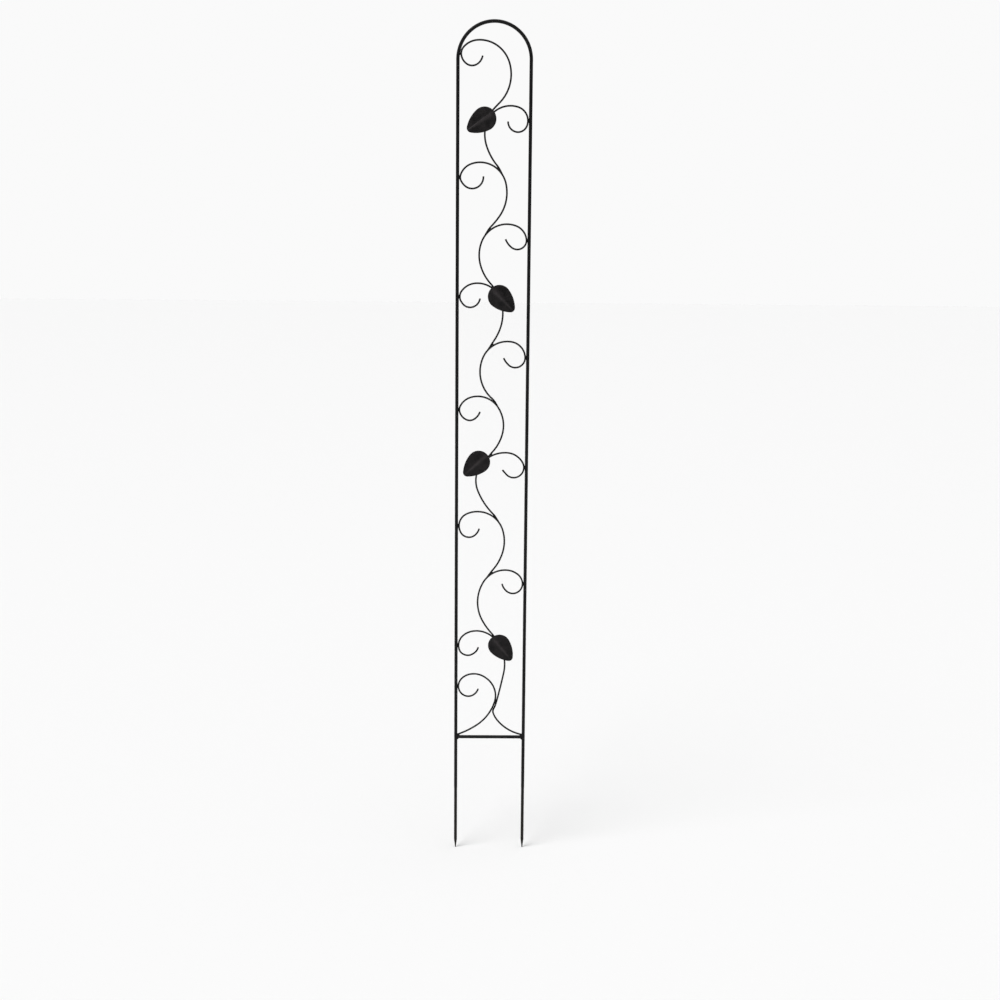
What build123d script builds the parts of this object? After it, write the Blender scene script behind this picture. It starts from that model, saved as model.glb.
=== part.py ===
"""Slim flat scroll trellis for a plant pot: a bent-rod hoop with two ground legs, a bottom
crossbar, twelve C-scrolls of thin wire that alternate left and right, four pressed sheet leaves
and the welds between them.

Frame: +X right, +Y away from the front, +Z up. The origin is midway between the two leg tips,
on the level they reach. All of the rods and wires lie in the plane Y = 0.
"""
from build123d import *
from math import atan2, cos, degrees, hypot, pi, radians, sin
import os

os.makedirs("parts", exist_ok=True)

# ---------------------------------------------------------------- driving dimensions (mm)
OVERALL_HEIGHT = 1500.0      # leg tip to the top of the arch
LEG_SPACING = 126.0          # centre to centre of the uprights
ROD_DIA = 6.0                # hoop rod
CROSSBAR_DIA = 6.0
WIRE_DIA = 3.2               # scroll wire
CROSSBAR_Z = 218.4           # centre of the crossbar
POINT_LENGTH = 16.0          # ground point at the end of each leg
POINT_TIP_DIA = 1.6
SPIKE_DIA = 5.6              # swaged stretch that goes into the soil
SPIKE_LENGTH = 100.0         # its straight wall
SHOULDER_LENGTH = 4.0        # taper from the swaged stretch to the full rod
GAP = 0.05                   # air between a rod and a wire that lies along it, bridged by welds

LEAF_THICKNESS = 1.2
LEAF_BASE_R = 20.6           # broad round end of the leaf
LEAF_TIP_R = 7.8             # blunt tip
LEAF_SIDE_R = 55.0           # long side arcs
LEAF_CENTRES = 27.8          # distance between the base and tip circle centres
LEAF_BASE_X = -5.1           # base circle centre from the leaf's reference point
LEAF_FOLD = 6.0              # degrees each half bends back from the midrib
LEAF_RIDGE_R = 5.0           # bend radius at the midrib
LEAF_WELD_INSET = 6.5        # weld beads sit this far inside the leaf's rim

HALF = LEG_SPACING / 2
ROD_R = ROD_DIA / 2
BAR_R = CROSSBAR_DIA / 2
WIRE_R = WIRE_DIA / 2
ARCH_Z = OVERALL_HEIGHT - ROD_R - HALF       # centre of the half-round arch
SPIKE_TOP = POINT_LENGTH + SPIKE_LENGTH

# Each scroll starts at the free end of its curl: (x, z), heading in degrees in the XZ plane, then
# tangent arcs as (length, turn in degrees), positive turning left of travel.
SCROLLS = {
    "left_scroll_1": (-20.485, 1440.106, -100.203, [
        (17.249, -47.187), (19.024, -65.927), (16.945, -45.505), (15.440, -53.450), (25.481, -41.390),
        (38.069, -41.233), (37.762, -40.389), (69.679, -60.233), (23.905, 5.881),
    ]),
    "right_scroll_1": (24.035, 1331.168, -90.304, [
        (23.376, 76.328), (24.238, 83.813), (35.458, 85.337), (6.257, 11.490), (61.539, 79.691),
        (6.362, 9.319), (34.858, 32.351), (47.136, 27.376),
    ]),
    "left_scroll_2": (-18.008, 1238.523, -86.356, [
        (30.162, -87.542), (15.089, -44.884), (10.958, -22.689), (11.412, -48.302), (26.000, -49.368),
        (78.292, -97.431), (58.480, -48.157), (32.202, -13.068),
    ]),
    "right_scroll_2": (21.566, 1131.592, -69.433, [
        (18.704, 33.535), (29.112, 102.675), (7.250, 29.261), (31.753, 64.144), (35.439, 43.640),
        (38.488, 45.825), (43.357, 38.722), (44.523, 31.503),
    ]),
    "left_scroll_3": (-22.643, 1028.326, -97.268, [
        (24.370, -77.374), (14.710, -52.261), (6.065, -10.995), (19.219, -66.883), (28.323, -49.001),
        (63.096, -82.367), (53.924, -38.358), (26.429, -14.517),
    ]),
    "right_scroll_3": (20.402, 923.902, -74.438, [
        (8.011, 24.599), (5.943, 2.922), (42.803, 140.122), (31.635, 62.102), (8.311, 16.580),
        (60.958, 74.021), (83.571, 75.483), (6.257, -4.047),
    ]),
    "left_scroll_4": (-21.553, 827.612, -106.404, [
        (18.294, -44.659), (13.983, -54.269), (17.764, -46.566), (12.312, -46.395), (24.561, -44.947),
        (55.464, -72.913), (50.657, -48.688), (44.972, -33.120),
    ]),
    "right_scroll_4": (19.659, 722.527, -50.570, [
        (11.259, 3.970), (20.017, 64.270), (32.308, 100.287), (34.522, 57.711), (37.083, 38.944),
        (33.851, 38.993), (33.835, 38.193), (59.668, 26.865),
    ]),
    "left_scroll_5": (-21.662, 614.189, -105.061, [
        (14.950, -36.346), (28.075, -95.666), (12.461, -28.448), (20.162, -47.737), (10.727, -24.190),
        (79.340, -94.995), (41.860, -33.423), (46.410, -29.959),
    ]),
    "right_scroll_5": (20.868, 511.595, -76.832, [
        (19.175, 43.498), (15.371, 53.406), (25.319, 79.106), (18.713, 44.174), (21.336, 33.813),
        (49.789, 61.510), (77.136, 60.373), (38.364, 17.307),
    ]),
    "left_scroll_6": (-22.057, 391.348, -103.253, [
        (9.423, -28.977), (11.704, -28.487), (8.583, -30.729), (9.279, -29.406), (6.924, -28.410),
        (13.544, -29.986), (11.266, -27.030), (12.534, -24.468), (16.041, -24.538), (18.806, -23.884),
        (17.269, -22.467), (23.702, -20.651), (25.253, -20.014), (26.249, -19.389), (59.515, -2.944),
        (12.408, -14.124), (9.148, 49.034), (15.371, 18.285), (53.701, 39.471),
    ]),
    "left_scroll_7": (-21.896, 311.611, -104.113, [
        (6.591, -20.128), (12.517, -36.027), (10.154, -34.171), (10.545, -33.709), (12.414, -35.160),
        (19.000, -51.866), (17.458, -33.487), (24.053, -38.317), (23.028, -28.890), (37.082, -51.456),
        (57.000, -38.581), (38.673, -13.863),
    ]),
}

# Leaves: (x, z) of the reference point and the direction of the tip in degrees in the XZ plane
LEAVES = {
    "leaf_1": (-20.9, 1332.2, 214.4),
    "leaf_2": (15.3, 1028.2, 315.4),
    "leaf_3": (-26.9, 733.6, 222.5),
    "leaf_4": (19.8, 391.8, 309.1),
}


# ---------------------------------------------------------------- geometry helpers
def arc_nodes(scroll):
    """End points, mid points and headings of a scroll's arcs, as (x, z, heading in radians)."""
    x, z, heading, arcs = scroll
    h = radians(heading)
    out = [(x, z, h)]
    mids = []
    for length, turn in arcs:
        t = radians(turn)
        r = length / t
        mids.append((x + r * (sin(h + t / 2) - sin(h)), z - r * (cos(h + t / 2) - cos(h))))
        x, z = x + r * (sin(h + t) - sin(h)), z - r * (cos(h + t) - cos(h))
        h += t
        out.append((x, z, h))
    return out, mids


def samples(scroll, step=0.5):
    """Points along a scroll's centre line as (x, z, heading in radians)."""
    x, z, heading, arcs = scroll
    h = radians(heading)
    pts = [(x, z, h)]
    for length, turn in arcs:
        t = radians(turn)
        r = length / t
        n = max(2, int(length / step))
        for i in range(1, n + 1):
            a = t * i / n
            pts.append((x + r * (sin(h + a) - sin(h)), z - r * (cos(h + a) - cos(h)), h + a))
        x, z, h = pts[-1][0], pts[-1][1], h + t
    return pts


def wire_plane(x, z, h):
    """Plane across a wire: its normal is the direction of travel."""
    return Plane(origin=(x, 0, z), x_dir=(0, 1, 0), z_dir=(cos(h), 0, sin(h)))


# ---------------------------------------------------------------- hoop frame
with BuildPart() as hoop_frame:
    for side in (-1, 1):
        # pointed end, swaged stretch, shoulder and upright, as one revolved profile
        with BuildSketch(Plane(origin=(side * HALF, 0, 0), x_dir=(1, 0, 0), z_dir=(0, -1, 0))):
            with BuildLine():
                Polyline(
                    (0, 0),
                    (POINT_TIP_DIA / 2, 0),
                    (SPIKE_DIA / 2, POINT_LENGTH),
                    (SPIKE_DIA / 2, SPIKE_TOP),
                    (ROD_R, SPIKE_TOP + SHOULDER_LENGTH),
                    (ROD_R, ARCH_Z),
                    (0, ARCH_Z),
                    close=True,
                )
            make_face()
        revolve(axis=Axis((side * HALF, 0, 0), (0, 0, 1)))
    # half-round arch
    with BuildSketch(Plane(origin=(HALF, 0, ARCH_Z), x_dir=(1, 0, 0), z_dir=(0, 0, 1))):
        Circle(ROD_R)
    revolve(axis=Axis((0, 0, ARCH_Z), (0, -1, 0)), revolution_arc=180)
hoop_frame.part.label = "hoop_frame"
export_step(hoop_frame.part, "parts/hoop_frame.step")

# ---------------------------------------------------------------- bottom crossbar
# Cut to fit between the uprights: its ends are coped to the round rods.
with BuildPart() as bottom_crossbar:
    with BuildSketch(Plane(origin=(-HALF, 0, CROSSBAR_Z), x_dir=(0, 1, 0), z_dir=(1, 0, 0))):
        Circle(BAR_R)
    extrude(amount=LEG_SPACING)
    for side in (-1, 1):
        with BuildSketch(Plane.XY.offset(CROSSBAR_Z - 10)):
            with Locations((side * HALF, 0)):
                Circle(ROD_R + GAP / 2)
        extrude(amount=20, mode=Mode.SUBTRACT)
bottom_crossbar.part.label = "bottom_crossbar"
export_step(bottom_crossbar.part, "parts/bottom_crossbar.step")

# ---------------------------------------------------------------- scrolls
scroll_parts = {}
for name, scroll in SCROLLS.items():
    ends, mids = arc_nodes(scroll)
    with BuildPart() as wire:
        with BuildLine(Plane.XZ) as path:
            for (x0, z0, _), (xm, zm), (x1, z1, _) in zip(ends[:-1], mids, ends[1:]):
                ThreePointArc((x0, z0), (xm, zm), (x1, z1))
        with BuildSketch(wire_plane(*ends[0])):
            Circle(WIRE_R)
        sweep(path=path.line)
    wire.part.label = name
    export_step(wire.part, "parts/" + name + ".step")
    scroll_parts[name] = wire.part

# ---------------------------------------------------------------- leaves
# Pressed sheet: two flat halves bent back from a rounded midrib, trimmed to an egg-shaped outline
# with a broad base and a blunt tip. The rims of the back lie one air gap in front of the wires.
fold = radians(LEAF_FOLD)
half_span = 26.0
inner_r = LEAF_RIDGE_R
outer_r = LEAF_RIDGE_R + LEAF_THICKNESS
flat = half_span - outer_r * sin(fold)
back_rise = inner_r * (1 - cos(fold)) + (LEAF_BASE_R - inner_r * sin(fold)) * sin(fold) / cos(fold)
LEAF_BACK_Y = -(WIRE_R + GAP) - back_rise        # back of the sheet at the midrib

b_x, t_x = LEAF_BASE_X, LEAF_BASE_X + LEAF_CENTRES
to_base, to_tip = LEAF_SIDE_R - LEAF_BASE_R, LEAF_SIDE_R - LEAF_TIP_R
s_x = b_x + (to_base**2 - to_tip**2 + LEAF_CENTRES**2) / (2 * LEAF_CENTRES)
s_y = -((to_base**2 - (s_x - b_x) ** 2) ** 0.5)


def on_circle(cx, cy, r, px, py):
    """Point of the circle about (cx, cy) on the far side from (px, py)."""
    d = hypot(cx - px, cy - py)
    return (cx + r * (cx - px) / d, cy + r * (cy - py) / d)


base_top = on_circle(b_x, 0, LEAF_BASE_R, s_x, s_y)
tip_top = on_circle(t_x, 0, LEAF_TIP_R, s_x, s_y)
mid_x = (base_top[0] + tip_top[0]) / 2
side_mid = (mid_x, s_y + (LEAF_SIDE_R**2 - (mid_x - s_x) ** 2) ** 0.5)

leaf_parts = {}
for name, (cx, cz, ang) in LEAVES.items():
    a = radians(ang)
    along = (cos(a), 0, sin(a))
    across = Plane(origin=(cx - 40 * cos(a), LEAF_BACK_Y, cz - 40 * sin(a)), x_dir=(0, -1, 0), z_dir=along)
    with BuildPart() as leaf:
        # section across the midrib: local x runs to the front, local y along the width
        with BuildSketch(across):
            with BuildLine():
                # bend centre lies behind the sheet
                c = -inner_r
                i_x, i_y = c + inner_r * cos(fold), inner_r * sin(fold)
                o_x, o_y = c + outer_r * cos(fold), outer_r * sin(fold)
                ThreePointArc((o_x, -o_y), (c + outer_r, 0), (o_x, o_y))
                Line((o_x, o_y), (o_x - flat * sin(fold), o_y + flat * cos(fold)))
                Line((o_x - flat * sin(fold), o_y + flat * cos(fold)), (i_x - flat * sin(fold), i_y + flat * cos(fold)))
                Line((i_x - flat * sin(fold), i_y + flat * cos(fold)), (i_x, i_y))
                ThreePointArc((i_x, i_y), (c + inner_r, 0), (i_x, -i_y))
                Line((i_x, -i_y), (i_x - flat * sin(fold), -i_y - flat * cos(fold)))
                Line((i_x - flat * sin(fold), -i_y - flat * cos(fold)), (o_x - flat * sin(fold), -o_y - flat * cos(fold)))
                Line((o_x - flat * sin(fold), -o_y - flat * cos(fold)), (o_x, -o_y))
            make_face()
        extrude(amount=80)
        # egg-shaped outline, seen from the front
        with BuildSketch(Plane(origin=(cx, -12, cz), x_dir=along, z_dir=(0, 1, 0))):
            with BuildLine():
                ThreePointArc(base_top, (b_x - LEAF_BASE_R, 0), (base_top[0], -base_top[1]))
                ThreePointArc((base_top[0], -base_top[1]), (side_mid[0], -side_mid[1]), (tip_top[0], -tip_top[1]))
                ThreePointArc((tip_top[0], -tip_top[1]), (t_x + LEAF_TIP_R, 0), tip_top)
                ThreePointArc(tip_top, side_mid, base_top)
            make_face()
        extrude(amount=24, mode=Mode.INTERSECT)
    leaf.part.label = name
    export_step(leaf.part, "parts/" + name + ".step")
    leaf_parts[name] = leaf.part

# ---------------------------------------------------------------- welds
# Every bead is a small ball of weld metal cut back to the surfaces of the pieces it joins.
order = ["left_scroll_1", "right_scroll_1", "left_scroll_2", "right_scroll_2", "left_scroll_3",
         "right_scroll_3", "left_scroll_4", "right_scroll_4", "left_scroll_5", "right_scroll_5",
         "left_scroll_6", "left_scroll_7"]
assert sorted(order) == sorted(SCROLLS)


def bead_solids(centre, radius, cutters):
    """A ball of weld metal less the pieces it lies on, resized a little if the cut comes out unsound."""
    for r in (radius, radius * 0.97, radius * 1.03, radius * 0.94, radius * 1.06):
        with BuildPart() as bead:
            with Locations(centre):
                Sphere(r)
            for cutter in cutters:
                add(cutter, mode=Mode.SUBTRACT)
        whole = 4 / 3 * pi * r**3
        kept = [s for s in bead.part.solids() if s.volume > 0.4]
        if kept and all(s.is_valid and s.volume < 0.9 * whole for s in kept):
            box = bead.part.bounding_box()
            if box.size.X < 2.1 * r and box.size.Z < 2.1 * r:
                return kept
    raise ValueError("no sound weld bead at " + str(centre))


def weld_group(name, beads):
    """One node of weld beads, each given as (centre, radius, pieces it is cut by)."""
    solids = [s for bead in beads for s in bead_solids(*bead)]
    with BuildPart() as group:
        add(solids)
    group.part.label = name
    export_step(group.part, "parts/" + name + ".step")
    return group.part


# scroll to upright: a bead on the back, in the groove where the curl touches the rod
touch = []
for name in order:
    side = -1 if name.startswith("left") else 1
    pts = samples(SCROLLS[name], 0.25)
    x, z, _ = max(pts[: len(pts) * 2 // 3], key=lambda p: side * p[0])
    touch.append(((side * (HALF - ROD_R + 0.2), 2.0, z), 1.8, [hoop_frame.part, scroll_parts[name]]))
weld_group("upright_welds", touch)

# scroll tail to the back of the next scroll
joints = []
for name, following in zip(order[:-2], order[1:-1]):
    x, z, h = samples(SCROLLS[name], 0.25)[-12]
    near = min(samples(SCROLLS[following], 0.25), key=lambda p: hypot(p[0] - x, p[1] - z))
    joints.append((((x + near[0]) / 2, 1.7, (z + near[1]) / 2), 1.6,
                   [scroll_parts[name], scroll_parts[following]]))
# the two lowest tails lie side by side for a short way
low, last = samples(SCROLLS["left_scroll_6"], 0.25), samples(SCROLLS["left_scroll_7"], 0.25)
pairs = sorted((min((hypot(p[0] - q[0], p[1] - q[1]), p, q) for q in last[::4]) for p in low[::4]), key=lambda e: e[0])
_, p, q = pairs[0]
joints.append((((p[0] + q[0]) / 2, 1.7, (p[1] + q[1]) / 2), 1.6,
               [scroll_parts["left_scroll_6"], scroll_parts["left_scroll_7"]]))
weld_group("scroll_welds", joints)

# leaf to wire: a bead behind the leaf, a little inside its rim, on each side where a wire passes
leaf_beads = []
for leaf_name, (cx, cz, ang) in LEAVES.items():
    a = radians(ang)
    for name in order:
        inside = []
        for x, z, h in samples(SCROLLS[name], 0.25)[:-40]:
            u = (x - cx) * cos(a) + (z - cz) * sin(a)
            v = abs((x - cx) * sin(a) - (z - cz) * cos(a))
            if u < b_x:
                depth = LEAF_BASE_R - hypot(u - b_x, v)
            elif u > tip_top[0]:
                depth = LEAF_TIP_R - hypot(u - t_x, v)
            else:
                depth = LEAF_SIDE_R - hypot(u - s_x, v - s_y)
            inside.append((depth, x, z))
        for prev, here in zip(inside[:-1], inside[1:]):
            if (prev[0] - LEAF_WELD_INSET) * (here[0] - LEAF_WELD_INSET) < 0:
                near = [other for other in order
                        if min(hypot(p[0] - here[1], p[1] - here[2]) for p in samples(SCROLLS[other], 1.0)) < 5.0]
                leaf_beads.append(((here[1], -(WIRE_R + 0.1), here[2]), 2.0,
                                   [leaf_parts[leaf_name]] + [scroll_parts[other] for other in near]))
weld_group("leaf_welds", leaf_beads)

# the two tails that end in the corners above the crossbar
corners = []
for name, side in (("left_scroll_7", -1), ("left_scroll_6", 1)):
    x, z, h = samples(SCROLLS[name], 0.25)[-1]
    corners.append(((side * (HALF - ROD_R - 0.6), 0, CROSSBAR_Z + BAR_R + 0.6), 3.0,
                    [hoop_frame.part, bottom_crossbar.part, scroll_parts[name]]))
weld_group("corner_welds", corners)

# crossbar to uprights: a bead under each end of the bar
bar_welds = []
for side in (-1, 1):
    bar_welds.append(((side * (HALF - ROD_R - 0.4), 0, CROSSBAR_Z - BAR_R - 0.2), 2.8,
                      [hoop_frame.part, bottom_crossbar.part]))
weld_group("crossbar_welds", bar_welds)
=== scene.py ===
from math import cos, hypot, pi, radians, sin, sqrt, tan

import bpy
import numpy as np
from mathutils import Matrix, Vector


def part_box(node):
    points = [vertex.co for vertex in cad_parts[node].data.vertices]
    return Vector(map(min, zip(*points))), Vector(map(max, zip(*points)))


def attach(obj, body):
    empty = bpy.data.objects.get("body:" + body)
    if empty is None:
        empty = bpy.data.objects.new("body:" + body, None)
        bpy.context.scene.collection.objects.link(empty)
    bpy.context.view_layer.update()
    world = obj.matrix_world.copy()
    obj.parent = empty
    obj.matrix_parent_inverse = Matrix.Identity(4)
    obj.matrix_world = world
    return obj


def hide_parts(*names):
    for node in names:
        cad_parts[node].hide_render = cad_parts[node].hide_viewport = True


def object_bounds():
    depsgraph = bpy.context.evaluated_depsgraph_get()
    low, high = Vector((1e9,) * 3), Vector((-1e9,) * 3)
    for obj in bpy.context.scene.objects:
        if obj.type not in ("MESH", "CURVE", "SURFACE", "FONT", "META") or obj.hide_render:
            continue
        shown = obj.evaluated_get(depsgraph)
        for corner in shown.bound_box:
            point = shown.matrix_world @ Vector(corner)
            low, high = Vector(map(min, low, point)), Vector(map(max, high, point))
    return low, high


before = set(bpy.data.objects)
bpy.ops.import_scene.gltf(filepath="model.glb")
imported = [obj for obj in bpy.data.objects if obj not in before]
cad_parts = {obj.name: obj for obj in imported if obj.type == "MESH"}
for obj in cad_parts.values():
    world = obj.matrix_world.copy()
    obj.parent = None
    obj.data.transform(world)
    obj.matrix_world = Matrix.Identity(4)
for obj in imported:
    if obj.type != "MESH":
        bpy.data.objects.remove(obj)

cad_lo, cad_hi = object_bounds()
MM = 0.001

# ---------------------------------------------------------------- dimensions of the design (mm)
LEG_SPACING = 126.0
ROD_DIA = 6.0
CROSSBAR_DIA = 6.0
WIRE_DIA = 3.2
POINT_LENGTH = 16.0
POINT_TIP_DIA = 1.6
SPIKE_DIA = 5.6
SPIKE_LENGTH = 100.0
SHOULDER_LENGTH = 4.0
GAP = 0.05
LEAF_THICKNESS = 1.2
LEAF_BASE_R = 20.6
LEAF_TIP_R = 7.8
LEAF_SIDE_R = 55.0
LEAF_CENTRES = 27.8
LEAF_BASE_X = -5.1
LEAF_FOLD = 6.0
LEAF_RIDGE_R = 5.0
LEAF_WELD_INSET = 6.5

HALF = LEG_SPACING / 2
ROD_R = ROD_DIA / 2
BAR_R = CROSSBAR_DIA / 2
WIRE_R = WIRE_DIA / 2
SPIKE_TOP = POINT_LENGTH + SPIKE_LENGTH
# heights come from the frame
bar_lo, bar_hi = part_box("bottom_crossbar")
ARCH_Z = 1000 * cad_hi.z - ROD_R - HALF
BAR_Z = 1000 * (bar_lo.z + bar_hi.z) / 2

# Each scroll starts at the free end of its curl: (x, z), heading in degrees in the XZ plane, then
# tangent arcs as (length, turn in degrees), positive turning left of travel.
SCROLLS = {
    "left_scroll_1": (-20.485, 1440.106, -100.203, [
        (17.249, -47.187), (19.024, -65.927), (16.945, -45.505), (15.440, -53.450), (25.481, -41.390),
        (38.069, -41.233), (37.762, -40.389), (69.679, -60.233), (23.905, 5.881),
    ]),
    "right_scroll_1": (24.035, 1331.168, -90.304, [
        (23.376, 76.328), (24.238, 83.813), (35.458, 85.337), (6.257, 11.490), (61.539, 79.691),
        (6.362, 9.319), (34.858, 32.351), (47.136, 27.376),
    ]),
    "left_scroll_2": (-18.008, 1238.523, -86.356, [
        (30.162, -87.542), (15.089, -44.884), (10.958, -22.689), (11.412, -48.302), (26.000, -49.368),
        (78.292, -97.431), (58.480, -48.157), (32.202, -13.068),
    ]),
    "right_scroll_2": (21.566, 1131.592, -69.433, [
        (18.704, 33.535), (29.112, 102.675), (7.250, 29.261), (31.753, 64.144), (35.439, 43.640),
        (38.488, 45.825), (43.357, 38.722), (44.523, 31.503),
    ]),
    "left_scroll_3": (-22.643, 1028.326, -97.268, [
        (24.370, -77.374), (14.710, -52.261), (6.065, -10.995), (19.219, -66.883), (28.323, -49.001),
        (63.096, -82.367), (53.924, -38.358), (26.429, -14.517),
    ]),
    "right_scroll_3": (20.402, 923.902, -74.438, [
        (8.011, 24.599), (5.943, 2.922), (42.803, 140.122), (31.635, 62.102), (8.311, 16.580),
        (60.958, 74.021), (83.571, 75.483), (6.257, -4.047),
    ]),
    "left_scroll_4": (-21.553, 827.612, -106.404, [
        (18.294, -44.659), (13.983, -54.269), (17.764, -46.566), (12.312, -46.395), (24.561, -44.947),
        (55.464, -72.913), (50.657, -48.688), (44.972, -33.120),
    ]),
    "right_scroll_4": (19.659, 722.527, -50.570, [
        (11.259, 3.970), (20.017, 64.270), (32.308, 100.287), (34.522, 57.711), (37.083, 38.944),
        (33.851, 38.993), (33.835, 38.193), (59.668, 26.865),
    ]),
    "left_scroll_5": (-21.662, 614.189, -105.061, [
        (14.950, -36.346), (28.075, -95.666), (12.461, -28.448), (20.162, -47.737), (10.727, -24.190),
        (79.340, -94.995), (41.860, -33.423), (46.410, -29.959),
    ]),
    "right_scroll_5": (20.868, 511.595, -76.832, [
        (19.175, 43.498), (15.371, 53.406), (25.319, 79.106), (18.713, 44.174), (21.336, 33.813),
        (49.789, 61.510), (77.136, 60.373), (38.364, 17.307),
    ]),
    "left_scroll_6": (-22.057, 391.348, -103.253, [
        (9.423, -28.977), (11.704, -28.487), (8.583, -30.729), (9.279, -29.406), (6.924, -28.410),
        (13.544, -29.986), (11.266, -27.030), (12.534, -24.468), (16.041, -24.538), (18.806, -23.884),
        (17.269, -22.467), (23.702, -20.651), (25.253, -20.014), (26.249, -19.389), (59.515, -2.944),
        (12.408, -14.124), (9.148, 49.034), (15.371, 18.285), (53.701, 39.471),
    ]),
    "left_scroll_7": (-21.896, 311.611, -104.113, [
        (6.591, -20.128), (12.517, -36.027), (10.154, -34.171), (10.545, -33.709), (12.414, -35.160),
        (19.000, -51.866), (17.458, -33.487), (24.053, -38.317), (23.028, -28.890), (37.082, -51.456),
        (57.000, -38.581), (38.673, -13.863),
    ]),
}
# Leaves: (x, z) of the reference point and the direction of the tip in degrees in the XZ plane
LEAVES = {
    "leaf_1": (-20.9, 1332.2, 214.4),
    "leaf_2": (15.3, 1028.2, 315.4),
    "leaf_3": (-26.9, 733.6, 222.5),
    "leaf_4": (19.8, 391.8, 309.1),
}
ORDER = ["left_scroll_1", "right_scroll_1", "left_scroll_2", "right_scroll_2", "left_scroll_3",
         "right_scroll_3", "left_scroll_4", "right_scroll_4", "left_scroll_5", "right_scroll_5",
         "left_scroll_6", "left_scroll_7"]


def samples(scroll, step=0.5):
    """Points along a scroll's centre line as rows of (x, z, heading in radians)."""
    x, z, heading, arcs = scroll
    h = radians(heading)
    pts = [(x, z, h)]
    for length, turn in arcs:
        t = radians(turn)
        r = length / t
        n = max(2, int(round(length / step)))
        for i in range(1, n + 1):
            a = t * i / n
            pts.append((x + r * (sin(h + a) - sin(h)), z - r * (cos(h + a) - cos(h)), h + a))
        x, z, h = pts[-1][0], pts[-1][1], h + t
    return np.array(pts)


# ---------------------------------------------------------------- mesh helpers
def volume(verts, faces):
    """Signed volume of a closed mesh of quads and triangles."""
    total = 0.0
    quads = np.array([f for f in faces if len(f) == 4], int).reshape(-1, 4)
    tris = np.array([f for f in faces if len(f) == 3], int).reshape(-1, 3)
    for t in (quads[:, [0, 1, 2]], quads[:, [0, 2, 3]], tris):
        if len(t):
            a, b, c = verts[t[:, 0]], verts[t[:, 1]], verts[t[:, 2]]
            total += np.einsum("ij,ij->i", a, np.cross(b, c)).sum() / 6
    return total


def outward(verts, faces):
    return faces if volume(verts - verts.mean(0), faces) > 0 else [tuple(reversed(f)) for f in faces]


def piece(name, parts, material, nodes):
    """One object from closed shells, each (verts in mm, faces, wear, soil, painted highlight), standing for some CAD
    nodes.
    """
    verts, faces, wear, soil, painted_highlight, base = [], [], [], [], [], 0
    for v, f, w, s, *rest in parts:
        v = np.asarray(v, float)
        verts.append(v)
        faces += [tuple(int(i) + base for i in q) for q in outward(v, f)]
        wear.append(np.broadcast_to(np.asarray(w, float), (len(v),)))
        soil.append(np.broadcast_to(np.asarray(s, float), (len(v),)))
        painted_highlight.append(np.broadcast_to(np.asarray(rest[0] if rest else 0.0, float), (len(v),)))
        base += len(v)
    verts = np.concatenate(verts) * MM
    mesh = bpy.data.meshes.new(name)
    mesh.from_pydata(verts.tolist(), [], faces)
    mesh.validate()
    for key, values in (("wear", wear), ("soil", soil), ("painted_highlight", painted_highlight)):
        attribute = mesh.attributes.new(key, "FLOAT", "POINT")
        attribute.data.foreach_set("value", np.concatenate(values).astype(np.float32))
    mesh.polygons.foreach_set("use_smooth", np.ones(len(mesh.polygons), bool))
    mesh.materials.append(material)
    mesh.update()
    obj = bpy.data.objects.new(name, mesh)
    bpy.context.scene.collection.objects.link(obj)
    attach(obj, "root")
    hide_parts(*nodes)
    return obj


def shell(rings, start_pole, end_pole):
    """Faces of a stack of rings with n points each, closed by a pole at each end."""
    count, n = rings
    faces = []
    for i in range(count - 1):
        for j in range(n):
            k = (j + 1) % n
            faces.append((i * n + j, i * n + k, (i + 1) * n + k, (i + 1) * n + j))
    for j in range(n):
        k = (j + 1) % n
        faces.append((start_pole, k, j))
        faces.append((end_pole, (count - 1) * n + j, (count - 1) * n + k))
    return faces


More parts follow.
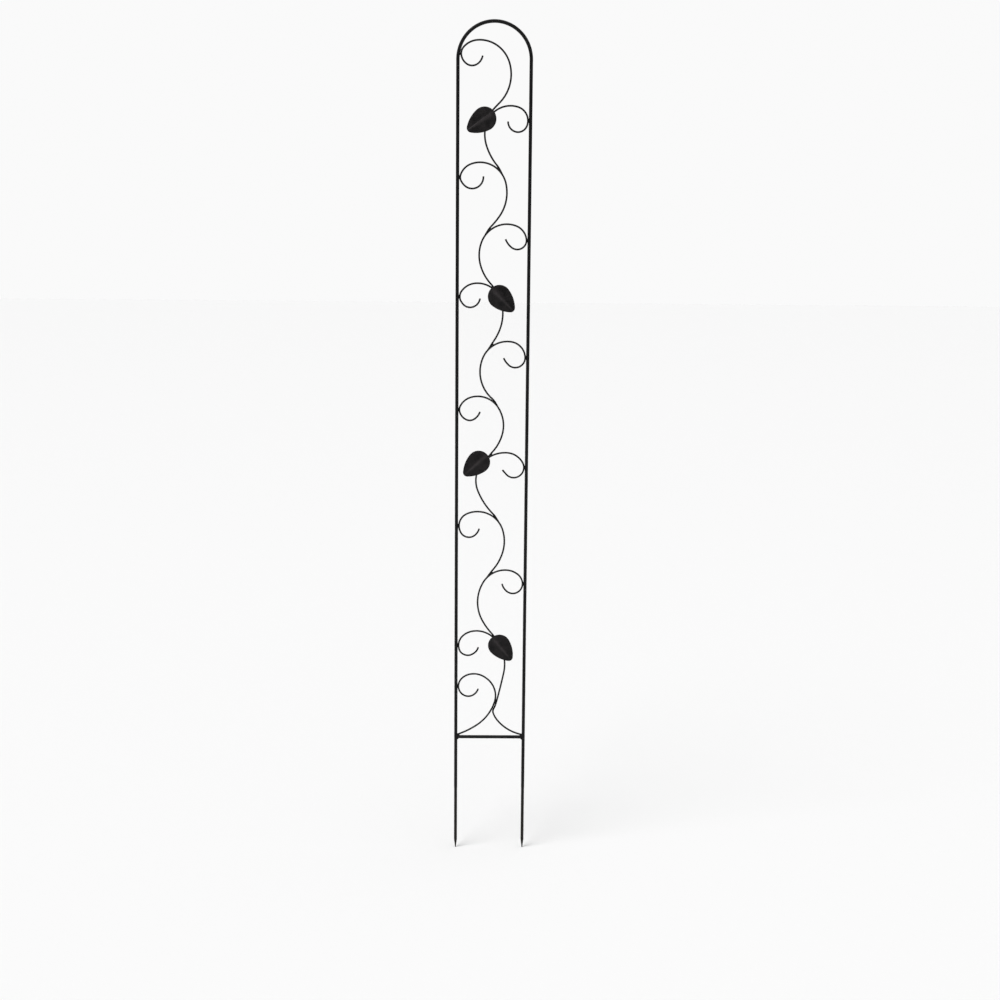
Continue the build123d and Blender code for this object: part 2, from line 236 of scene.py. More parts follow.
def tube(path, radii, sides, cut=0.32, cut_wear=1.0, seed=0, lean_max=0.09):
    """A round wire along (x, z, heading) rows in the plane y = 0, with sheared ends whose edges are broken."""
    path, radii = np.asarray(path, float), np.asarray(radii, float)
    rng = np.random.RandomState(seed)
    along = np.concatenate([[0], np.cumsum(np.hypot(np.diff(path[:, 0]), np.diff(path[:, 1])))])
    total = along[-1]
    # the stretches nearest the ends are closed down in steps, then a flat cap
    inner = (along > cut) & (along < total - cut)
    rows, rr, wear = [], [], []

    def at(s):
        i = min(max(np.searchsorted(along, s) - 1, 0), len(path) - 2)
        f = (s - along[i]) / (along[i + 1] - along[i])
        return path[i] * (1 - f) + path[i + 1] * f, radii[i] * (1 - f) + radii[i + 1] * f

    steps = [(0.0, 0.45), (0.0, 0.80), (0.05, 0.885), (0.13, 0.945), (0.22, 0.985), (cut, 1.0)]
    for s, k in steps:
        p, r = at(s)
        rows.append(p); rr.append(r * k); wear.append(cut_wear if k < 0.99 else 0.6 * cut_wear)
    for p, r, s in zip(path[inner], radii[inner], along[inner]):
        rows.append(p); rr.append(r)
        wear.append(cut_wear * 0.6 * max(0.0, 1 - min(s, total - s) / 2.5))
    for s, k in reversed(steps):
        p, r = at(total - s)
        rows.append(p); rr.append(r * k); wear.append(cut_wear if k < 0.99 else 0.6 * cut_wear)
    rows, rr = np.array(rows), np.array(rr)
    a = np.arange(sides) * 2 * pi / sides
    n_dir = np.stack([-np.sin(rows[:, 2]), np.zeros(len(rows)), np.cos(rows[:, 2])], 1)
    centre = np.stack([rows[:, 0], np.zeros(len(rows)), rows[:, 1]], 1)
    verts = (centre[:, None, :] + rr[:, None, None] * (np.cos(a)[None, :, None] * n_dir[:, None, :]
             + np.sin(a)[None, :, None] * np.array([0, 1.0, 0])[None, None, :]))
    # a sheared wire end isn't quite square: tilt the caps a little
    tilt = rng.uniform(-lean_max, lean_max, 2)
    t_dir = np.stack([np.cos(rows[:, 2]), np.zeros(len(rows)), np.sin(rows[:, 2])], 1)
    for end, sign, t in ((range(len(steps)), 1, tilt[0]), (range(len(rows) - len(steps), len(rows)), -1, tilt[1])):
        for i in end:
            lean = rr[i] * np.cos(a + 3 * t * 10) * abs(t)
            verts[i] += sign * (lean + 0.0)[:, None] * t_dir[i][None, :] * (1 if sign > 0 else 1)
    wear = np.repeat(wear, sides)
    first, last = verts[0].mean(0), verts[-1].mean(0)
    verts = np.concatenate([verts.reshape(-1, 3), [first, last]])
    wear = np.concatenate([wear, [cut_wear, cut_wear]])
    count = len(rows)
    return verts, shell((count, sides), count * sides, count * sides + 1), wear


def surface_nets(field, origin, step):
    """Closed quad mesh of the surface field = 0 of a grid, with field < 0 inside."""
    inside = field < 0
    shape = np.array(field.shape) - 1
    total = np.zeros(shape, int)
    corners = [(i, j, k) for i in (0, 1) for j in (0, 1) for k in (0, 1)]

    def part(a, c):
        return a[c[0]:c[0] + shape[0], c[1]:c[1] + shape[1], c[2]:c[2] + shape[2]]

    for c in corners:
        total += part(inside, c)
    active = (total > 0) & (total < 8)
    index = -np.ones(shape, int)
    index[active] = np.arange(active.sum())
    acc, hits = np.zeros(tuple(shape) + (3,)), np.zeros(shape)
    for c in corners:
        for axis in range(3):
            if c[axis] == 0:
                d = list(c); d[axis] = 1
                fa, fb = part(field, c), part(field, d)
                cross = (fa < 0) != (fb < 0)
                t = np.where(cross, fa / np.where(cross, fa - fb, 1.0), 0.0)
                for m in range(3):
                    acc[..., m] += np.where(cross, c[m] + (t if m == axis else 0.0), 0.0)
                hits += cross
    cells = np.argwhere(active)
    verts = origin + step * (cells + acc[active] / hits[active][:, None])
    faces = []
    for axis in range(3):
        u, v = (axis + 1) % 3, (axis + 2) % 3
        lo = [slice(None)] * 3; hi = [slice(None)] * 3
        lo[axis] = slice(0, -1); hi[axis] = slice(1, None)
        a, b = inside[tuple(lo)], inside[tuple(hi)]
        for e in np.argwhere(a != b):
            if e[u] == 0 or e[v] == 0 or e[u] >= shape[u] or e[v] >= shape[v]:
                continue
            quad = []
            for du, dv in ((-1, -1), (0, -1), (0, 0), (-1, 0)):
                q = e.copy(); q[u] += du; q[v] += dv
                quad.append(index[tuple(q)])
            if not a[tuple(e)]:
                quad.reverse()
            faces.append(tuple(quad))
    return verts, faces


# ---------------------------------------------------------------- materials
def nodes_of(material):
    material.use_nodes = True
    tree = material.node_tree
    tree.nodes.clear()
    return tree


def coat(name, deep, light, rough_lo, rough_hi, specular, patch, peel, swell):
    """Black satin powder coat on steel: cloudy shade, orange peel, dust on what faces up, chips where it is worn."""
    material = bpy.data.materials.new(name)
    tree = nodes_of(material)
    new, link = tree.nodes.new, tree.links.new

    def node(kind, **settings):
        n = new(kind)
        for k, v in settings.items():
            setattr(n, k, v)
        return n

    def noise(scale, detail, rough, distortion=0.0):
        n = node("ShaderNodeTexNoise")
        n.inputs["Scale"].default_value = scale
        n.inputs["Detail"].default_value = detail
        n.inputs["Roughness"].default_value = rough
        n.inputs["Distortion"].default_value = distortion
        link(coord.outputs["Object"], n.inputs["Vector"])
        return n.outputs["Fac"]

    def remap(value, a, b, c, d, smooth=False):
        n = node("ShaderNodeMapRange", interpolation_type="SMOOTHSTEP" if smooth else "LINEAR", clamp=True)
        link(value, n.inputs["Value"])
        for key, x in (("From Min", a), ("From Max", b), ("To Min", c), ("To Max", d)):
            n.inputs[key].default_value = x
        return n.outputs["Result"]

    def maths(op, a, b):
        n = node("ShaderNodeMath", operation=op)
        for i, x in enumerate((a, b)):
            if isinstance(x, (int, float)):
                n.inputs[i].default_value = x
            else:
                link(x, n.inputs[i])
        return n.outputs[0]

    def mix(fac, a, b):
        n = node("ShaderNodeMix", data_type="RGBA")
        link(fac, n.inputs["Factor"])
        for key, x in (("A", a), ("B", b)):
            socket = [s for s in n.inputs if s.name == key and s.type == "RGBA"][0]
            if isinstance(x, tuple):
                socket.default_value = (*x, 1)
            else:
                link(x, socket)
        return [s for s in n.outputs if s.type == "RGBA"][0]

    coord = node("ShaderNodeTexCoord")
    geometry = node("ShaderNodeNewGeometry")
    split = node("ShaderNodeSeparateXYZ")
    link(geometry.outputs["Normal"], split.inputs[0])
    wear = node("ShaderNodeAttribute", attribute_name="wear", attribute_type="GEOMETRY").outputs["Fac"]
    soil = node("ShaderNodeAttribute", attribute_name="soil", attribute_type="GEOMETRY").outputs["Fac"]

    cloud = noise(patch, 4, 0.62, 0.4)
    mid = noise(patch * 7, 5, 0.6)
    fine = noise(1500, 2, 0.5)
    grit = noise(3800, 3, 0.6)

    # the coat's own shade
    shade = mix(remap(maths("ADD", maths("MULTIPLY", cloud, 0.6), maths("MULTIPLY", mid, 0.4)), 0.38, 0.64, 0, 1), deep, light)
    # powder grain: minute lighter specks
    speck = remap(grit, 0.62, 0.74, 0, 0.35, True)
    shade = mix(speck, shade, (light[0] * 2.1, light[1] * 2.1, light[2] * 2.1))
    # dust settled on what faces up
    up = remap(split.outputs["Z"], 0.25, 0.95, 0, 1, True)
    dust = maths("MULTIPLY", up, remap(mid, 0.34, 0.72, 0.03, 0.20, True))
    shade = mix(dust, shade, (0.080, 0.077, 0.071))
    # film of dry soil where the legs were in the ground
    # painted highlight: along a raised line the coat's colour is painted paler to stand for the sheen of light on it,
    # and it is made a little smoother there
    painted_highlight = node("ShaderNodeAttribute", attribute_name="painted_highlight", attribute_type="GEOMETRY").outputs["Fac"]
    painted_highlight_mask = maths("MULTIPLY", painted_highlight, remap(cloud, 0.30, 0.68, 0.45, 1.0, True))
    shade = mix(painted_highlight_mask, shade, (light[0] * 2.2, light[1] * 2.2, light[2] * 2.2))
    film = maths("MULTIPLY", soil, remap(maths("ADD", maths("MULTIPLY", mid, 0.5), maths("MULTIPLY", noise(420, 5, 0.65), 0.5)), 0.42, 0.66, 0.04, 0.30, True))
    shade = mix(film, shade, (0.060, 0.047, 0.036))
    # chips down to steel, partly rusted
    chip = remap(maths("ADD", maths("MULTIPLY", noise(640, 6, 0.68), 0.62), maths("MULTIPLY", wear, 0.38)), 0.575, 0.605, 0, 1, True)
    rust = remap(noise(900, 4, 0.6), 0.42, 0.58, 0, 1, True)
    metal = mix(rust, (0.20, 0.195, 0.19), (0.085, 0.036, 0.018))
    colour = mix(chip, shade, metal)

    rough = remap(mid, 0.34, 0.66, rough_lo, rough_hi)
    rough = maths("ADD", rough, maths("MULTIPLY", dust, 0.45))
    rough = maths("SUBTRACT", rough, maths("MULTIPLY", painted_highlight_mask, 0.08))
    rough = maths("ADD", rough, maths("MULTIPLY", film, 0.35))
    rough = maths("ADD", rough, maths("MULTIPLY", chip, 0.10))

    # relief: gentle swell of the coat, orange peel, grain, and the step at a chip's edge
    bump = None
    for height, distance in ((noise(swell, 2, 0.5), 0.00016), (fine, peel), (grit, 0.000006), (maths("SUBTRACT", 1.0, chip), 0.00005),
                             (film, 0.00006)):
        b = node("ShaderNodeBump")
        b.inputs["Strength"].default_value = 1.0
        b.inputs["Distance"].default_value = distance
        link(height, b.inputs["Height"])
        if bump is not None:
            link(bump, b.inputs["Normal"])
        bump = b.outputs["Normal"]

    shader = node("ShaderNodeBsdfPrincipled")
    shader.inputs["Specular IOR Level"].default_value = specular
    link(colour, shader.inputs["Base Color"])
    link(rough, shader.inputs["Roughness"])
    link(maths("MULTIPLY", chip, maths("SUBTRACT", 0.9, maths("MULTIPLY", rust, 0.8))), shader.inputs["Metallic"])
    link(bump, shader.inputs["Normal"])
    out = node("ShaderNodeOutputMaterial")
    link(shader.outputs[0], out.inputs["Surface"])
    return material


black_coat = coat("black_coat", (0.0026, 0.0026, 0.0029), (0.0066, 0.0066, 0.0070), 0.36, 0.52, 0.14, 22, 0.000030, 90)
black_coat_leaf = coat("black_coat_leaf", (0.0016, 0.0014, 0.0016), (0.0150, 0.0132, 0.0136), 0.36, 0.52, 0.15, 110, 0.000034, 150)

# ---------------------------------------------------------------- hoop frame
# one rod from the left leg's point, up, round the arch and down to the right leg's point
profile = [(0.0, POINT_TIP_DIA / 2)]
for z in np.arange(1.0, POINT_LENGTH - 0.6, 1.0):
    profile.append((z, POINT_TIP_DIA / 2 + (SPIKE_DIA - POINT_TIP_DIA) / 2 * z / POINT_LENGTH))
for f, k in ((-0.6, 0.955), (-0.2, 0.985), (0.3, 0.997), (1.0, 1.0)):
    profile.append((POINT_LENGTH + f, SPIKE_DIA / 2 * k))
for z in np.arange(POINT_LENGTH + 3, SPIKE_TOP - 1, 3.0):
    profile.append((z, SPIKE_DIA / 2))
for f, k in ((0, 0.0), (0.8, 0.08), (1.6, 0.30), (2.4, 0.62), (3.2, 0.88), (4.0, 1.0)):
    profile.append((SPIKE_TOP + f, SPIKE_DIA / 2 + (ROD_R - SPIKE_DIA / 2) * k))
for z in np.linspace(SPIKE_TOP + 8, ARCH_Z, 330):
    profile.append((z, ROD_R))
leg = np.array(profile)
rows = [(-HALF, z, pi / 2) for z, _ in leg]
radii = [r for _, r in leg]
for a in np.radians(np.arange(179.0, 0.5, -1.0)):
    rows.append((HALF * cos(a), ARCH_Z + HALF * sin(a), a - pi / 2))
    radii.append(ROD_R)
rows += [(HALF, z, -pi / 2) for z, _ in leg[::-1]]
radii += [r for _, r in leg[::-1]]
verts, faces, wear = tube(rows, np.array(radii) * 0.9985, 36, cut=0.3, cut_wear=0.9, seed=3, lean_max=0.0)
z = verts[:, 2]
wear = np.maximum(wear, np.clip(0.80 - z / 60, 0, 1) * 0.75)
wear = np.maximum(wear, 0.22 * np.clip((130 - z) / 30, 0, 1))
soil = np.clip((127 - z) / 45, 0, 1) ** 0.7
piece("hoop_rod", [(verts, faces, wear, soil)], black_coat, ["hoop_frame"])

# ---------------------------------------------------------------- bottom crossbar
# straight rod with its ends coped to the round uprights
xs = np.linspace(-HALF + 3.2, HALF - 3.2, 60)
sides = 36
a = np.arange(sides) * 2 * pi / sides
ys, zs = BAR_R * 0.9985 * np.cos(a), BAR_R * 0.9985 * np.sin(a)
cope = np.minimum(HALF - np.sqrt(np.clip((ROD_R + 0.02) ** 2 - ys**2, 0, None)), HALF - 1.9)
bar = [np.stack([-cope, ys, zs + BAR_Z], 1)]
bar += [np.stack([np.full(sides, x), ys, zs + BAR_Z], 1) for x in xs[2:-2]]
bar.append(np.stack([cope, ys, zs + BAR_Z], 1))
poles = [[-(HALF - ROD_R - 0.02), 0, BAR_Z], [HALF - ROD_R - 0.02, 0, BAR_Z]]
count = len(bar)
bar_verts = np.concatenate(bar + [np.array(poles)])
piece("crossbar_rod", [(bar_verts, shell((count, sides), count * sides, count * sides + 1), 0.0, 0.0)],
      black_coat, ["bottom_crossbar"])

# ---------------------------------------------------------------- scrolls
lines = {name: samples(SCROLLS[name], 0.25) for name in ORDER}
RUN_BACK, RUN_ON = 9.0, 13.0  # a tail leans into the next scroll and fuses with it over these lengths
fused = dict(zip(ORDER[:-2], ORDER[1:-1]))


def run_on(name, step):
    """The last of a tail, where it leans on the side of the next scroll and is melted into it."""
    x, z, h = lines[name][-1]
    other = lines[fused[name]]
    i = int(np.argmin(np.hypot(other[:, 0] - x, other[:, 1] - z)) + RUN_ON / 0.25)
    x1, z1, h1 = other[min(i, len(other) - 1)]
    x, z, h = lines[name][-1 - int(RUN_BACK / 0.25)]
    reach = hypot(x1 - x, z1 - z)
    t = np.linspace(0, 1, int(reach / step) + 2)[1:]
    a, b, c, d = 2 * t**3 - 3 * t**2 + 1, t**3 - 2 * t**2 + t, -2 * t**3 + 3 * t**2, t**3 - t**2
    px = a * x + b * reach * cos(h) + c * x1 + d * reach * cos(h1)
    pz = a * z + b * reach * sin(h) + c * z1 + d * reach * sin(h1)
    gx, gz = np.gradient(np.concatenate([[x], px])), np.gradient(np.concatenate([[z], pz]))
    heading = np.unwrap(np.concatenate([[h], np.arctan2(gz, gx)[1:]]))
    return np.stack([px, pz, heading[1:]], 1), 1 - 0.16 * t**2


for number, name in enumerate(ORDER):
    path = samples(SCROLLS[name], 1.0)
    radii = np.ones(len(path))
    if name in fused:
        more, thinner = run_on(name, 0.7)
        start = lines[name][-1 - int(RUN_BACK / 0.25)]
        past = int(np.argmin(np.hypot(path[:, 0] - start[0], path[:, 1] - start[1])))
        path, radii = np.concatenate([path[:past], [start], more]), np.concatenate([radii[: past + 1], thinner])
    side, _, n = name.partition("_scroll_")
    verts, faces, wear = tube(path, radii * WIRE_R * 0.999, 24, seed=20 + number)
    piece("scroll_wire_" + side + "_" + n, [(verts, faces, wear, 0.0)], black_coat, [name])

# ---------------------------------------------------------------- leaves
fold = radians(LEAF_FOLD)
inner_r, outer_r = LEAF_RIDGE_R, LEAF_RIDGE_R + LEAF_THICKNESS
back_rise = inner_r * (1 - cos(fold)) + (LEAF_BASE_R - inner_r * sin(fold)) * tan(fold)
LEAF_BACK_Y = -(WIRE_R + GAP) - back_rise
b_x, t_x = LEAF_BASE_X, LEAF_BASE_X + LEAF_CENTRES
to_base, to_tip = LEAF_SIDE_R - LEAF_BASE_R, LEAF_SIDE_R - LEAF_TIP_R
s_x = b_x + (to_base**2 - to_tip**2 + LEAF_CENTRES**2) / (2 * LEAF_CENTRES)
s_y = -sqrt(to_base**2 - (s_x - b_x) ** 2)


def bent(v, r):
    """How far a surface bent about the midrib falls back at a distance v from it."""
    v = np.abs(v)
    flat = r * sin(fold)
    return np.where(v < flat, r - np.sqrt(np.clip(r * r - np.minimum(v, flat) ** 2, 0, None)),
                    r * (1 - cos(fold)) + (v - flat) * tan(fold))


def outline(n):
    """Points and outward normals of the egg-shaped outline, evenly spaced along it."""
    def touch(cx, r):
        d = hypot(cx - s_x, s_y)
        return np.array([cx + r * (cx - s_x) / d, -r * s_y / d])
    base_top, tip_top = touch(b_x, LEAF_BASE_R), touch(t_x, LEAF_TIP_R)
    pts = []
    for a in np.linspace(pi, np.arctan2(base_top[1], base_top[0] - b_x), 400):
        pts.append((b_x + LEAF_BASE_R * cos(a), LEAF_BASE_R * sin(a)))
    a0, a1 = np.arctan2(base_top[1] - s_y, base_top[0] - s_x), np.arctan2(tip_top[1] - s_y, tip_top[0] - s_x)
    for a in np.linspace(a0, a1, 400)[1:]:
        pts.append((s_x + LEAF_SIDE_R * cos(a), s_y + LEAF_SIDE_R * sin(a)))
    for a in np.linspace(np.arctan2(tip_top[1], tip_top[0] - t_x), 0, 200)[1:]:
        pts.append((t_x + LEAF_TIP_R * cos(a), LEAF_TIP_R * sin(a)))
    half = np.array(pts)
    full = np.concatenate([half, (half * [1, -1])[::-1][1:-1]])
    loop = np.concatenate([full, full[:1]])
    d = np.concatenate([[0], np.cumsum(np.hypot(*np.diff(loop, axis=0).T))])
    s = np.linspace(0, d[-1], n + 1)[:-1]
    even = np.stack([np.interp(s, d, loop[:, 0]), np.interp(s, d, loop[:, 1])], 1)
    tangent = np.roll(even, -1, 0) - np.roll(even, 1, 0)
    tangent /= np.hypot(*tangent.T)[:, None]
    normal = np.stack([-tangent[:, 1], tangent[:, 0]], 1)
    if (normal * (even - [b_x + 5, 0])).sum() < 0:
        normal = -normal
    return even, normal


def veins(u, v):
    """Height, 0 to 1, of the pressed midrib and, much fainter, of the side veins."""
    taper = np.clip((t_x + 7.0 - u) / 26, 0.25, 1.0)
    rib = np.exp(-(v / (2.0 * taper + 0.4)) ** 2)
    side = np.zeros_like(u)
    for u0 in (-19.0, -12.0, -5.0, 2.0, 9.0, 15.5):
        along = np.abs(v)
        centre = u0 + 0.72 * along - 0.008 * along**2
        line = np.exp(-((u - centre) / 0.85) ** 2)
        reach = np.clip((16.5 - 0.25 * abs(u0) - along) / 5, 0, 1) * np.clip(along / 2.0, 0, 1)
        side = np.maximum(side, line * reach)
    return rib, side


def leaf_shell(seed):
    rng = np.random.RandomState(seed)
    waves = [(rng.uniform(0.25, 0.75), rng.uniform(0, 2 * pi), rng.uniform(0, 2 * pi), rng.uniform(0.3, 1.0)) for _ in range(9)]

    def uneven(u, v):
        out = 0
        for k, d, p, w in waves:
            out = out + w * np.sin(k * (u * cos(d) + v * sin(d)) + p)
        return out / 9

    n, rings = 224, 36
    rim, normal = outline(n)
    soft = 0.30
    mid = np.array([b_x + 3.0, 0.0])
    rib_h = 0.46

    def front(u, v):
        rib, side = veins(u, v)
        lift = np.maximum(rib, 0.20 * side)
        return LEAF_BACK_Y - LEAF_THICKNESS + 0.008 + bent(v, outer_r) + rib_h * (1 - lift) + 0.07 * (1 + uneven(u, v)) * (1 - rib)

    def back(u, v):
        rib, side = veins(u, v)
        return LEAF_BACK_Y + bent(v, inner_r) - rib_h * 0.9 * np.maximum(rib, 0.20 * side) - 0.01

    inset = rim - soft * normal
    verts, wear = [], []
    grid = [mid + (inset - mid) * (s ** 0.92) for s in np.linspace(0, 1, rings + 1)[1:]]
    for ring in grid:
        verts.append(np.stack([ring[:, 0], front(*ring.T), ring[:, 1]], 1))
        wear.append(np.full(n, 0.0))
    edge = inset
    f_rim, b_rim = front(*edge.T), back(*edge.T)
    for k in (30, 60, 90):
        p = inset + normal * soft * sin(radians(k))
        verts.append(np.stack([p[:, 0], f_rim + soft * (1 - cos(radians(k))), p[:, 1]], 1))
        wear.append(np.full(n, 0.34))
    for k in (90, 60, 30):
        p = inset + normal * soft * sin(radians(k))
        verts.append(np.stack([p[:, 0], b_rim - soft * (1 - cos(radians(k))), p[:, 1]], 1))
        wear.append(np.full(n, 0.34))
    for ring in grid[::-1]:
        verts.append(np.stack([ring[:, 0], back(*ring.T), ring[:, 1]], 1))
        wear.append(np.full(n, 0.0))
    count = len(verts)
    m = mid[None, :]
    poles = np.array([[mid[0], front(*m.T)[0], 0.0], [mid[0], back(*m.T)[0], 0.0]])
    verts = np.concatenate(verts + [poles])
    wear = np.concatenate(wear + [np.zeros(2)])
    on_front = verts[:, 1] < back(verts[:, 0], verts[:, 2]) - 0.3
    end = np.clip((t_x + LEAF_TIP_R - verts[:, 0]) / 14, 0, 1) * np.clip((verts[:, 0] - b_x + LEAF_BASE_R) / 9, 0, 1)
    # painted highlight: a band down the front of the midrib, fading out towards base and tip, where the coat's colour
    # is painted paler
    painted_highlight = np.exp(-(verts[:, 2] / (1.5 + 0.05 * (t_x - verts[:, 0]))) ** 2) * end * on_front
    return verts, shell((count, n), count * n, count * n + 1), wear, painted_highlight, back


leaf_backs = {}
for number, (name, (cx, cz, ang)) in enumerate(LEAVES.items()):
    a = radians(ang)
    local, faces, wear, painted_highlight, back = leaf_shell(50 + number)
    u, y, v = local.T
    verts = np.stack([cx + u * cos(a) - v * sin(a), y, cz + u * sin(a) + v * cos(a)], 1)
    piece("leaf_plate_" + name[-1], [(verts, faces, wear, 0.0, painted_highlight)], black_coat_leaf, [name])
    leaf_backs[name] = (cx, cz, a, back)

# ---------------------------------------------------------------- welds
# Each bead is a small rippled pool of weld metal that wets the pieces it joins. It is the smooth union of
# the bead with slightly thinner copies of those pieces, so that it dives under their surfaces.
SKIN = 0.07


def to_segments(points, line):
    """Distance from points (n, 3) to a polyline (k, 3)."""
    best = np.full(len(points), 1e9)
    for p, q in zip(line[:-1], line[1:]):
        d = q - p
        t = np.clip((points - p) @ d / max(d @ d, 1e-12), 0, 1)
        best = np.minimum(best, np.linalg.norm(points - (p + t[:, None] * d), axis=1))
    return best


def smooth_min(a, b, k):
    h = np.clip(0.5 + 0.5 * (b - a) / k, 0, 1)
    return b * (1 - h) + a * h - k * h * (1 - h)


def bead(centre, direction, half_length, radius, solids, seed, blend=0.9, reach=2.1, step=0.2, behind=None, flat=1.0):
    """One weld bead. solids are functions giving the distance to the joined pieces."""
    rng = np.random.RandomState(seed)
    centre, direction = np.array(centre, float), np.array(direction, float)
    direction /= np.linalg.norm(direction)
    size = half_length + radius + reach
    low = centre - size
    n = int(2 * size / step) + 2
    axes = [low[i] + step * np.arange(n) for i in range(3)]
    grid = np.stack(np.meshgrid(*axes, indexing="ij"), -1).reshape(-1, 3)
    local = grid - centre
    s = local @ direction
    nearest = np.clip(s, -half_length, half_length)
    off = local - nearest[:, None] * direction
    off[:, 1] /= flat
    phase = rng.uniform(0, 2 * pi)
    swell = radius * (1 + 0.055 * np.sin(2 * pi * s / 0.95 + phase) + 0.10 * np.sin(2 * pi * s / 4.7 + rng.uniform(0, 6)))
    for _ in range(4):
        k = rng.normal(size=3) * 1.5
        swell += 0.035 * radius * np.sin(local @ k + rng.uniform(0, 6))
    d = np.linalg.norm(off, axis=1) - swell
    for solid in solids:
        d = smooth_min(d, solid(grid), blend)
    clip = np.linalg.norm(local - nearest[:, None] * direction, axis=1) - (radius + reach - 0.45)
    d = np.maximum(d, clip)
    if behind is not None:
        d = np.maximum(d, behind(grid))
    field = d.reshape(n, n, n)
    verts, faces = surface_nets(field, low, step)
    crest = np.clip((np.linalg.norm(verts - centre, axis=1) / (half_length + radius)), 0, 1)
    return verts, faces, 0.16 * (1 - crest), 0.0


whole = {name: np.concatenate([lines[name][: -int(RUN_BACK / 0.25)], run_on(name, 0.25)[0]]) if name in fused else lines[name]
         for name in ORDER}


def near_wire(name, at, span=9.0):
    line = whole[name]
    keep = line[np.hypot(line[:, 0] - at[0], line[:, 1] - at[1]) < span]
    keep = np.concatenate([keep[:-1:3], keep[-1:]])
    return np.stack([keep[:, 0], np.zeros(len(keep)), keep[:, 1]], 1)


def wire_solid(name, at):
    path = near_wire(name, at)
    return lambda p: to_segments(p, path) - (WIRE_R - SKIN)


def upright_solid(side):
    return lambda p: np.hypot(p[:, 0] - side * HALF, p[:, 1]) - (ROD_R - SKIN)


def bar_solid(p):
    inside = np.abs(p[:, 0]) - (HALF - 2.1)
    return np.maximum(np.hypot(p[:, 1], p[:, 2] - BAR_Z) - (BAR_R - SKIN), inside)


beads = []
for number, name in enumerate(ORDER):
    side = -1 if name.startswith("left") else 1
    line = lines[name][: len(lines[name]) * 2 // 3]
    x, z, h = line[np.argmax(side * line[:, 0])]
    beads.append(bead((side * (HALF - ROD_R + 0.15), 1.95, z), (0, 0, 1), 1.5, 1.45,
                      [wire_solid(name, (x, z)), upright_solid(side)], 100 + number))
piece("upright_weld_beads", beads, black_coat, ["upright_welds"])

beads = []
joints = []
for name, following in zip(ORDER[:-2], ORDER[1:-1]):
    x, z, _ = lines[name][-12]
    tail, other = whole[name], lines[following]
    x, z, h = tail[np.argmin(np.hypot(tail[:, 0] - x, tail[:, 1] - z))]
    near = other[np.argmin(np.hypot(other[:, 0] - x, other[:, 1] - z))]
    joints.append(((x + near[0]) / 2, (z + near[1]) / 2, h, name, following))
low, last = lines["left_scroll_6"], lines["left_scroll_7"]
gaps = np.hypot(last[::4, None, 0] - low[None, ::4, 0], last[::4, None, 1] - low[None, ::4, 1])
i, j = np.unravel_index(np.argmin(gaps.T), gaps.T.shape)
p, q = low[::4][i], last[::4][j]
joints.append(((p[0] + q[0]) / 2, (p[1] + q[1]) / 2, p[2], "left_scroll_6", "left_scroll_7"))
for number, (x, z, h, one, two) in enumerate(joints):
    beads.append(bead((x, 1.5, z), (cos(h), 0, sin(h)), 1.9, 1.2,
                      [wire_solid(one, (x, z)), wire_solid(two, (x, z))], 130 + number, blend=1.1))
piece("scroll_weld_beads", beads, black_coat, ["scroll_welds"])

beads = []
for leaf_name, (cx, cz, a, back) in leaf_backs.items():
    for name in ORDER:
        line = lines[name][:-40]
        u = (line[:, 0] - cx) * cos(a) + (line[:, 1] - cz) * sin(a)
        v = np.abs((line[:, 0] - cx) * sin(a) - (line[:, 1] - cz) * cos(a))
        d = hypot(t_x - s_x, s_y)
        tip_top_x = t_x + LEAF_TIP_R * (t_x - s_x) / d
        depth = np.where(u < b_x, LEAF_BASE_R - np.hypot(u - b_x, v),
                         np.where(u > tip_top_x, LEAF_TIP_R - np.hypot(u - t_x, v), LEAF_SIDE_R - np.hypot(u - s_x, v - s_y)))
        for i in range(len(line) - 1):
            if (depth[i] - LEAF_WELD_INSET) * (depth[i + 1] - LEAF_WELD_INSET) < 0:
                x, z, h = line[i + 1]
                near = [o for o in ORDER if np.hypot(lines[o][:, 0] - x, lines[o][:, 1] - z).min() < 5.0]

                def behind(p, cx=cx, cz=cz, a=a, back=back):
                    uu = (p[:, 0] - cx) * cos(a) + (p[:, 2] - cz) * sin(a)
                    vv = -(p[:, 0] - cx) * sin(a) + (p[:, 2] - cz) * cos(a)
                    return back(uu, vv) - 0.25 - p[:, 1]

                beads.append(bead((x, -1.7, z), (cos(h), 0, sin(h)), 1.4, 1.85,
                                  [wire_solid(o, (x, z)) for o in near], 160 + len(beads), behind=behind))
piece("leaf_weld_beads", beads, black_coat, ["leaf_welds"])

beads = []
for number, (name, side) in enumerate((("left_scroll_7", -1), ("left_scroll_6", 1))):
    x, z, h = lines[name][-1]
    beads.append(bead((side * (HALF - ROD_R - 0.5), 0, BAR_Z + BAR_R + 0.35), (-side * 0.8, 0, 0.35), 1.2, 2.0,
                      [wire_solid(name, (x, z)), upright_solid(side), bar_solid], 190 + number, blend=1.3, reach=1.8))
piece("corner_weld_beads", beads, black_coat, ["corner_welds"])

beads = []
for number, side in enumerate((-1, 1)):
    beads.append(bead((side * (HALF - ROD_R - 0.4), 0, BAR_Z - BAR_R - 0.1), (0, 1, 0), 0.9, 1.55,
                      [upright_solid(side), bar_solid], 200 + number, blend=1.3, reach=1.8))
piece("crossbar_weld_beads", beads, black_coat, ["crossbar_welds"])

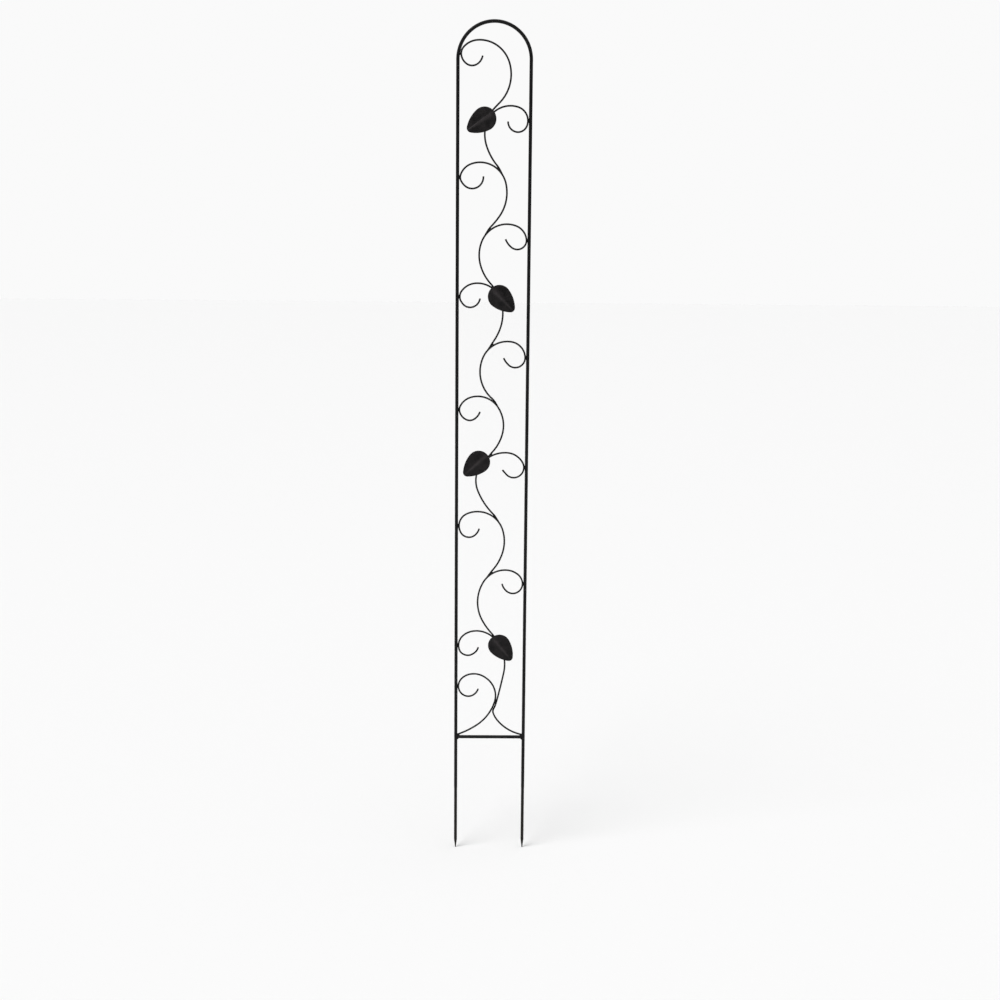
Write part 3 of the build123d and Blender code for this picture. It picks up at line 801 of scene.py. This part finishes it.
# ---------------------------------------------------------------- floor, light and camera
def floor_material():
    material = bpy.data.materials.new("pale_floor")
    tree = nodes_of(material)
    coord = tree.nodes.new("ShaderNodeTexCoord")
    noise = tree.nodes.new("ShaderNodeTexNoise")
    noise.inputs["Scale"].default_value = 1.5
    ramp = tree.nodes.new("ShaderNodeMapRange")
    ramp.inputs["To Min"].default_value = 0.90
    ramp.inputs["To Max"].default_value = 0.96
    shader = tree.nodes.new("ShaderNodeBsdfPrincipled")
    shader.inputs["Base Color"].default_value = (0.88, 0.88, 0.88, 1)
    shader.inputs["Specular IOR Level"].default_value = 0.15
    out = tree.nodes.new("ShaderNodeOutputMaterial")
    tree.links.new(coord.outputs["Object"], noise.inputs["Vector"])
    tree.links.new(noise.outputs["Fac"], ramp.inputs["Value"])
    tree.links.new(ramp.outputs["Result"], shader.inputs["Roughness"])
    tree.links.new(shader.outputs[0], out.inputs["Surface"])
    return material


mesh = bpy.data.meshes.new("floor")
R = 60.0
mesh.from_pydata([(-R, -R, -0.0002), (R, -R, -0.0002), (R, R, -0.0002), (-R, R, -0.0002)], [], [(0, 1, 2, 3)])
mesh.materials.append(floor_material())
floor = bpy.data.objects.new("floor", mesh)
bpy.context.scene.collection.objects.link(floor)

world = bpy.data.worlds.new("studio")
bpy.context.scene.world = world
world.use_nodes = True
tree = world.node_tree
tree.nodes.clear()
soft = tree.nodes.new("ShaderNodeBackground")
soft.inputs["Color"].default_value = (1, 1, 1, 1)
soft.inputs["Strength"].default_value = 0.20
seen = tree.nodes.new("ShaderNodeBackground")
seen.inputs["Color"].default_value = (1, 1, 1, 1)
seen.inputs["Strength"].default_value = 0.955
rays = tree.nodes.new("ShaderNodeLightPath")
both = tree.nodes.new("ShaderNodeMixShader")
out = tree.nodes.new("ShaderNodeOutputWorld")
tree.links.new(rays.outputs["Is Camera Ray"], both.inputs[0])
tree.links.new(soft.outputs[0], both.inputs[1])
tree.links.new(seen.outputs[0], both.inputs[2])
tree.links.new(both.outputs[0], out.inputs["Surface"])


def sun(name, strength, angle, azimuth, elevation):
    light = bpy.data.lights.new(name, "SUN")
    light.energy = strength
    light.angle = radians(angle)
    obj = bpy.data.objects.new(name, light)
    a, e = radians(azimuth), radians(elevation)
    towards = Vector((sin(a) * cos(e), -cos(a) * cos(e), sin(e)))
    obj.rotation_mode = "QUATERNION"
    obj.rotation_quaternion = towards.to_track_quat("Z", "Y")
    bpy.context.scene.collection.objects.link(obj)


sun("key", 2.30, 34, -48, 52)
sun("fill", 1.16, 80, 55, 62)

yaw, pitch, roll = radians(0.746), radians(9.548), radians(0.502)
forward = Vector((sin(yaw) * cos(pitch), cos(yaw) * cos(pitch), -sin(pitch)))
right = Vector((cos(yaw), -sin(yaw), 0))
up = right.cross(forward)
r2 = cos(roll) * right + sin(roll) * up
u2 = -sin(roll) * right + cos(roll) * up
camera_data = bpy.data.cameras.new("camera")
camera_data.sensor_width = 36
camera_data.lens = 36 * 1.310
camera_data.clip_end = 200
camera = bpy.data.objects.new("camera", camera_data)
place = Matrix((
    (r2.x, u2.x, -forward.x, -0.0147),
    (r2.y, u2.y, -forward.y, -2.3421),
    (r2.z, u2.z, -forward.z, 1.0614),
    (0, 0, 0, 1),
))
camera.matrix_world = place
bpy.context.scene.collection.objects.link(camera)
bpy.context.scene.camera = camera
bpy.context.scene.view_settings.view_transform = "Standard"
bpy.context.scene.view_settings.look = "None"
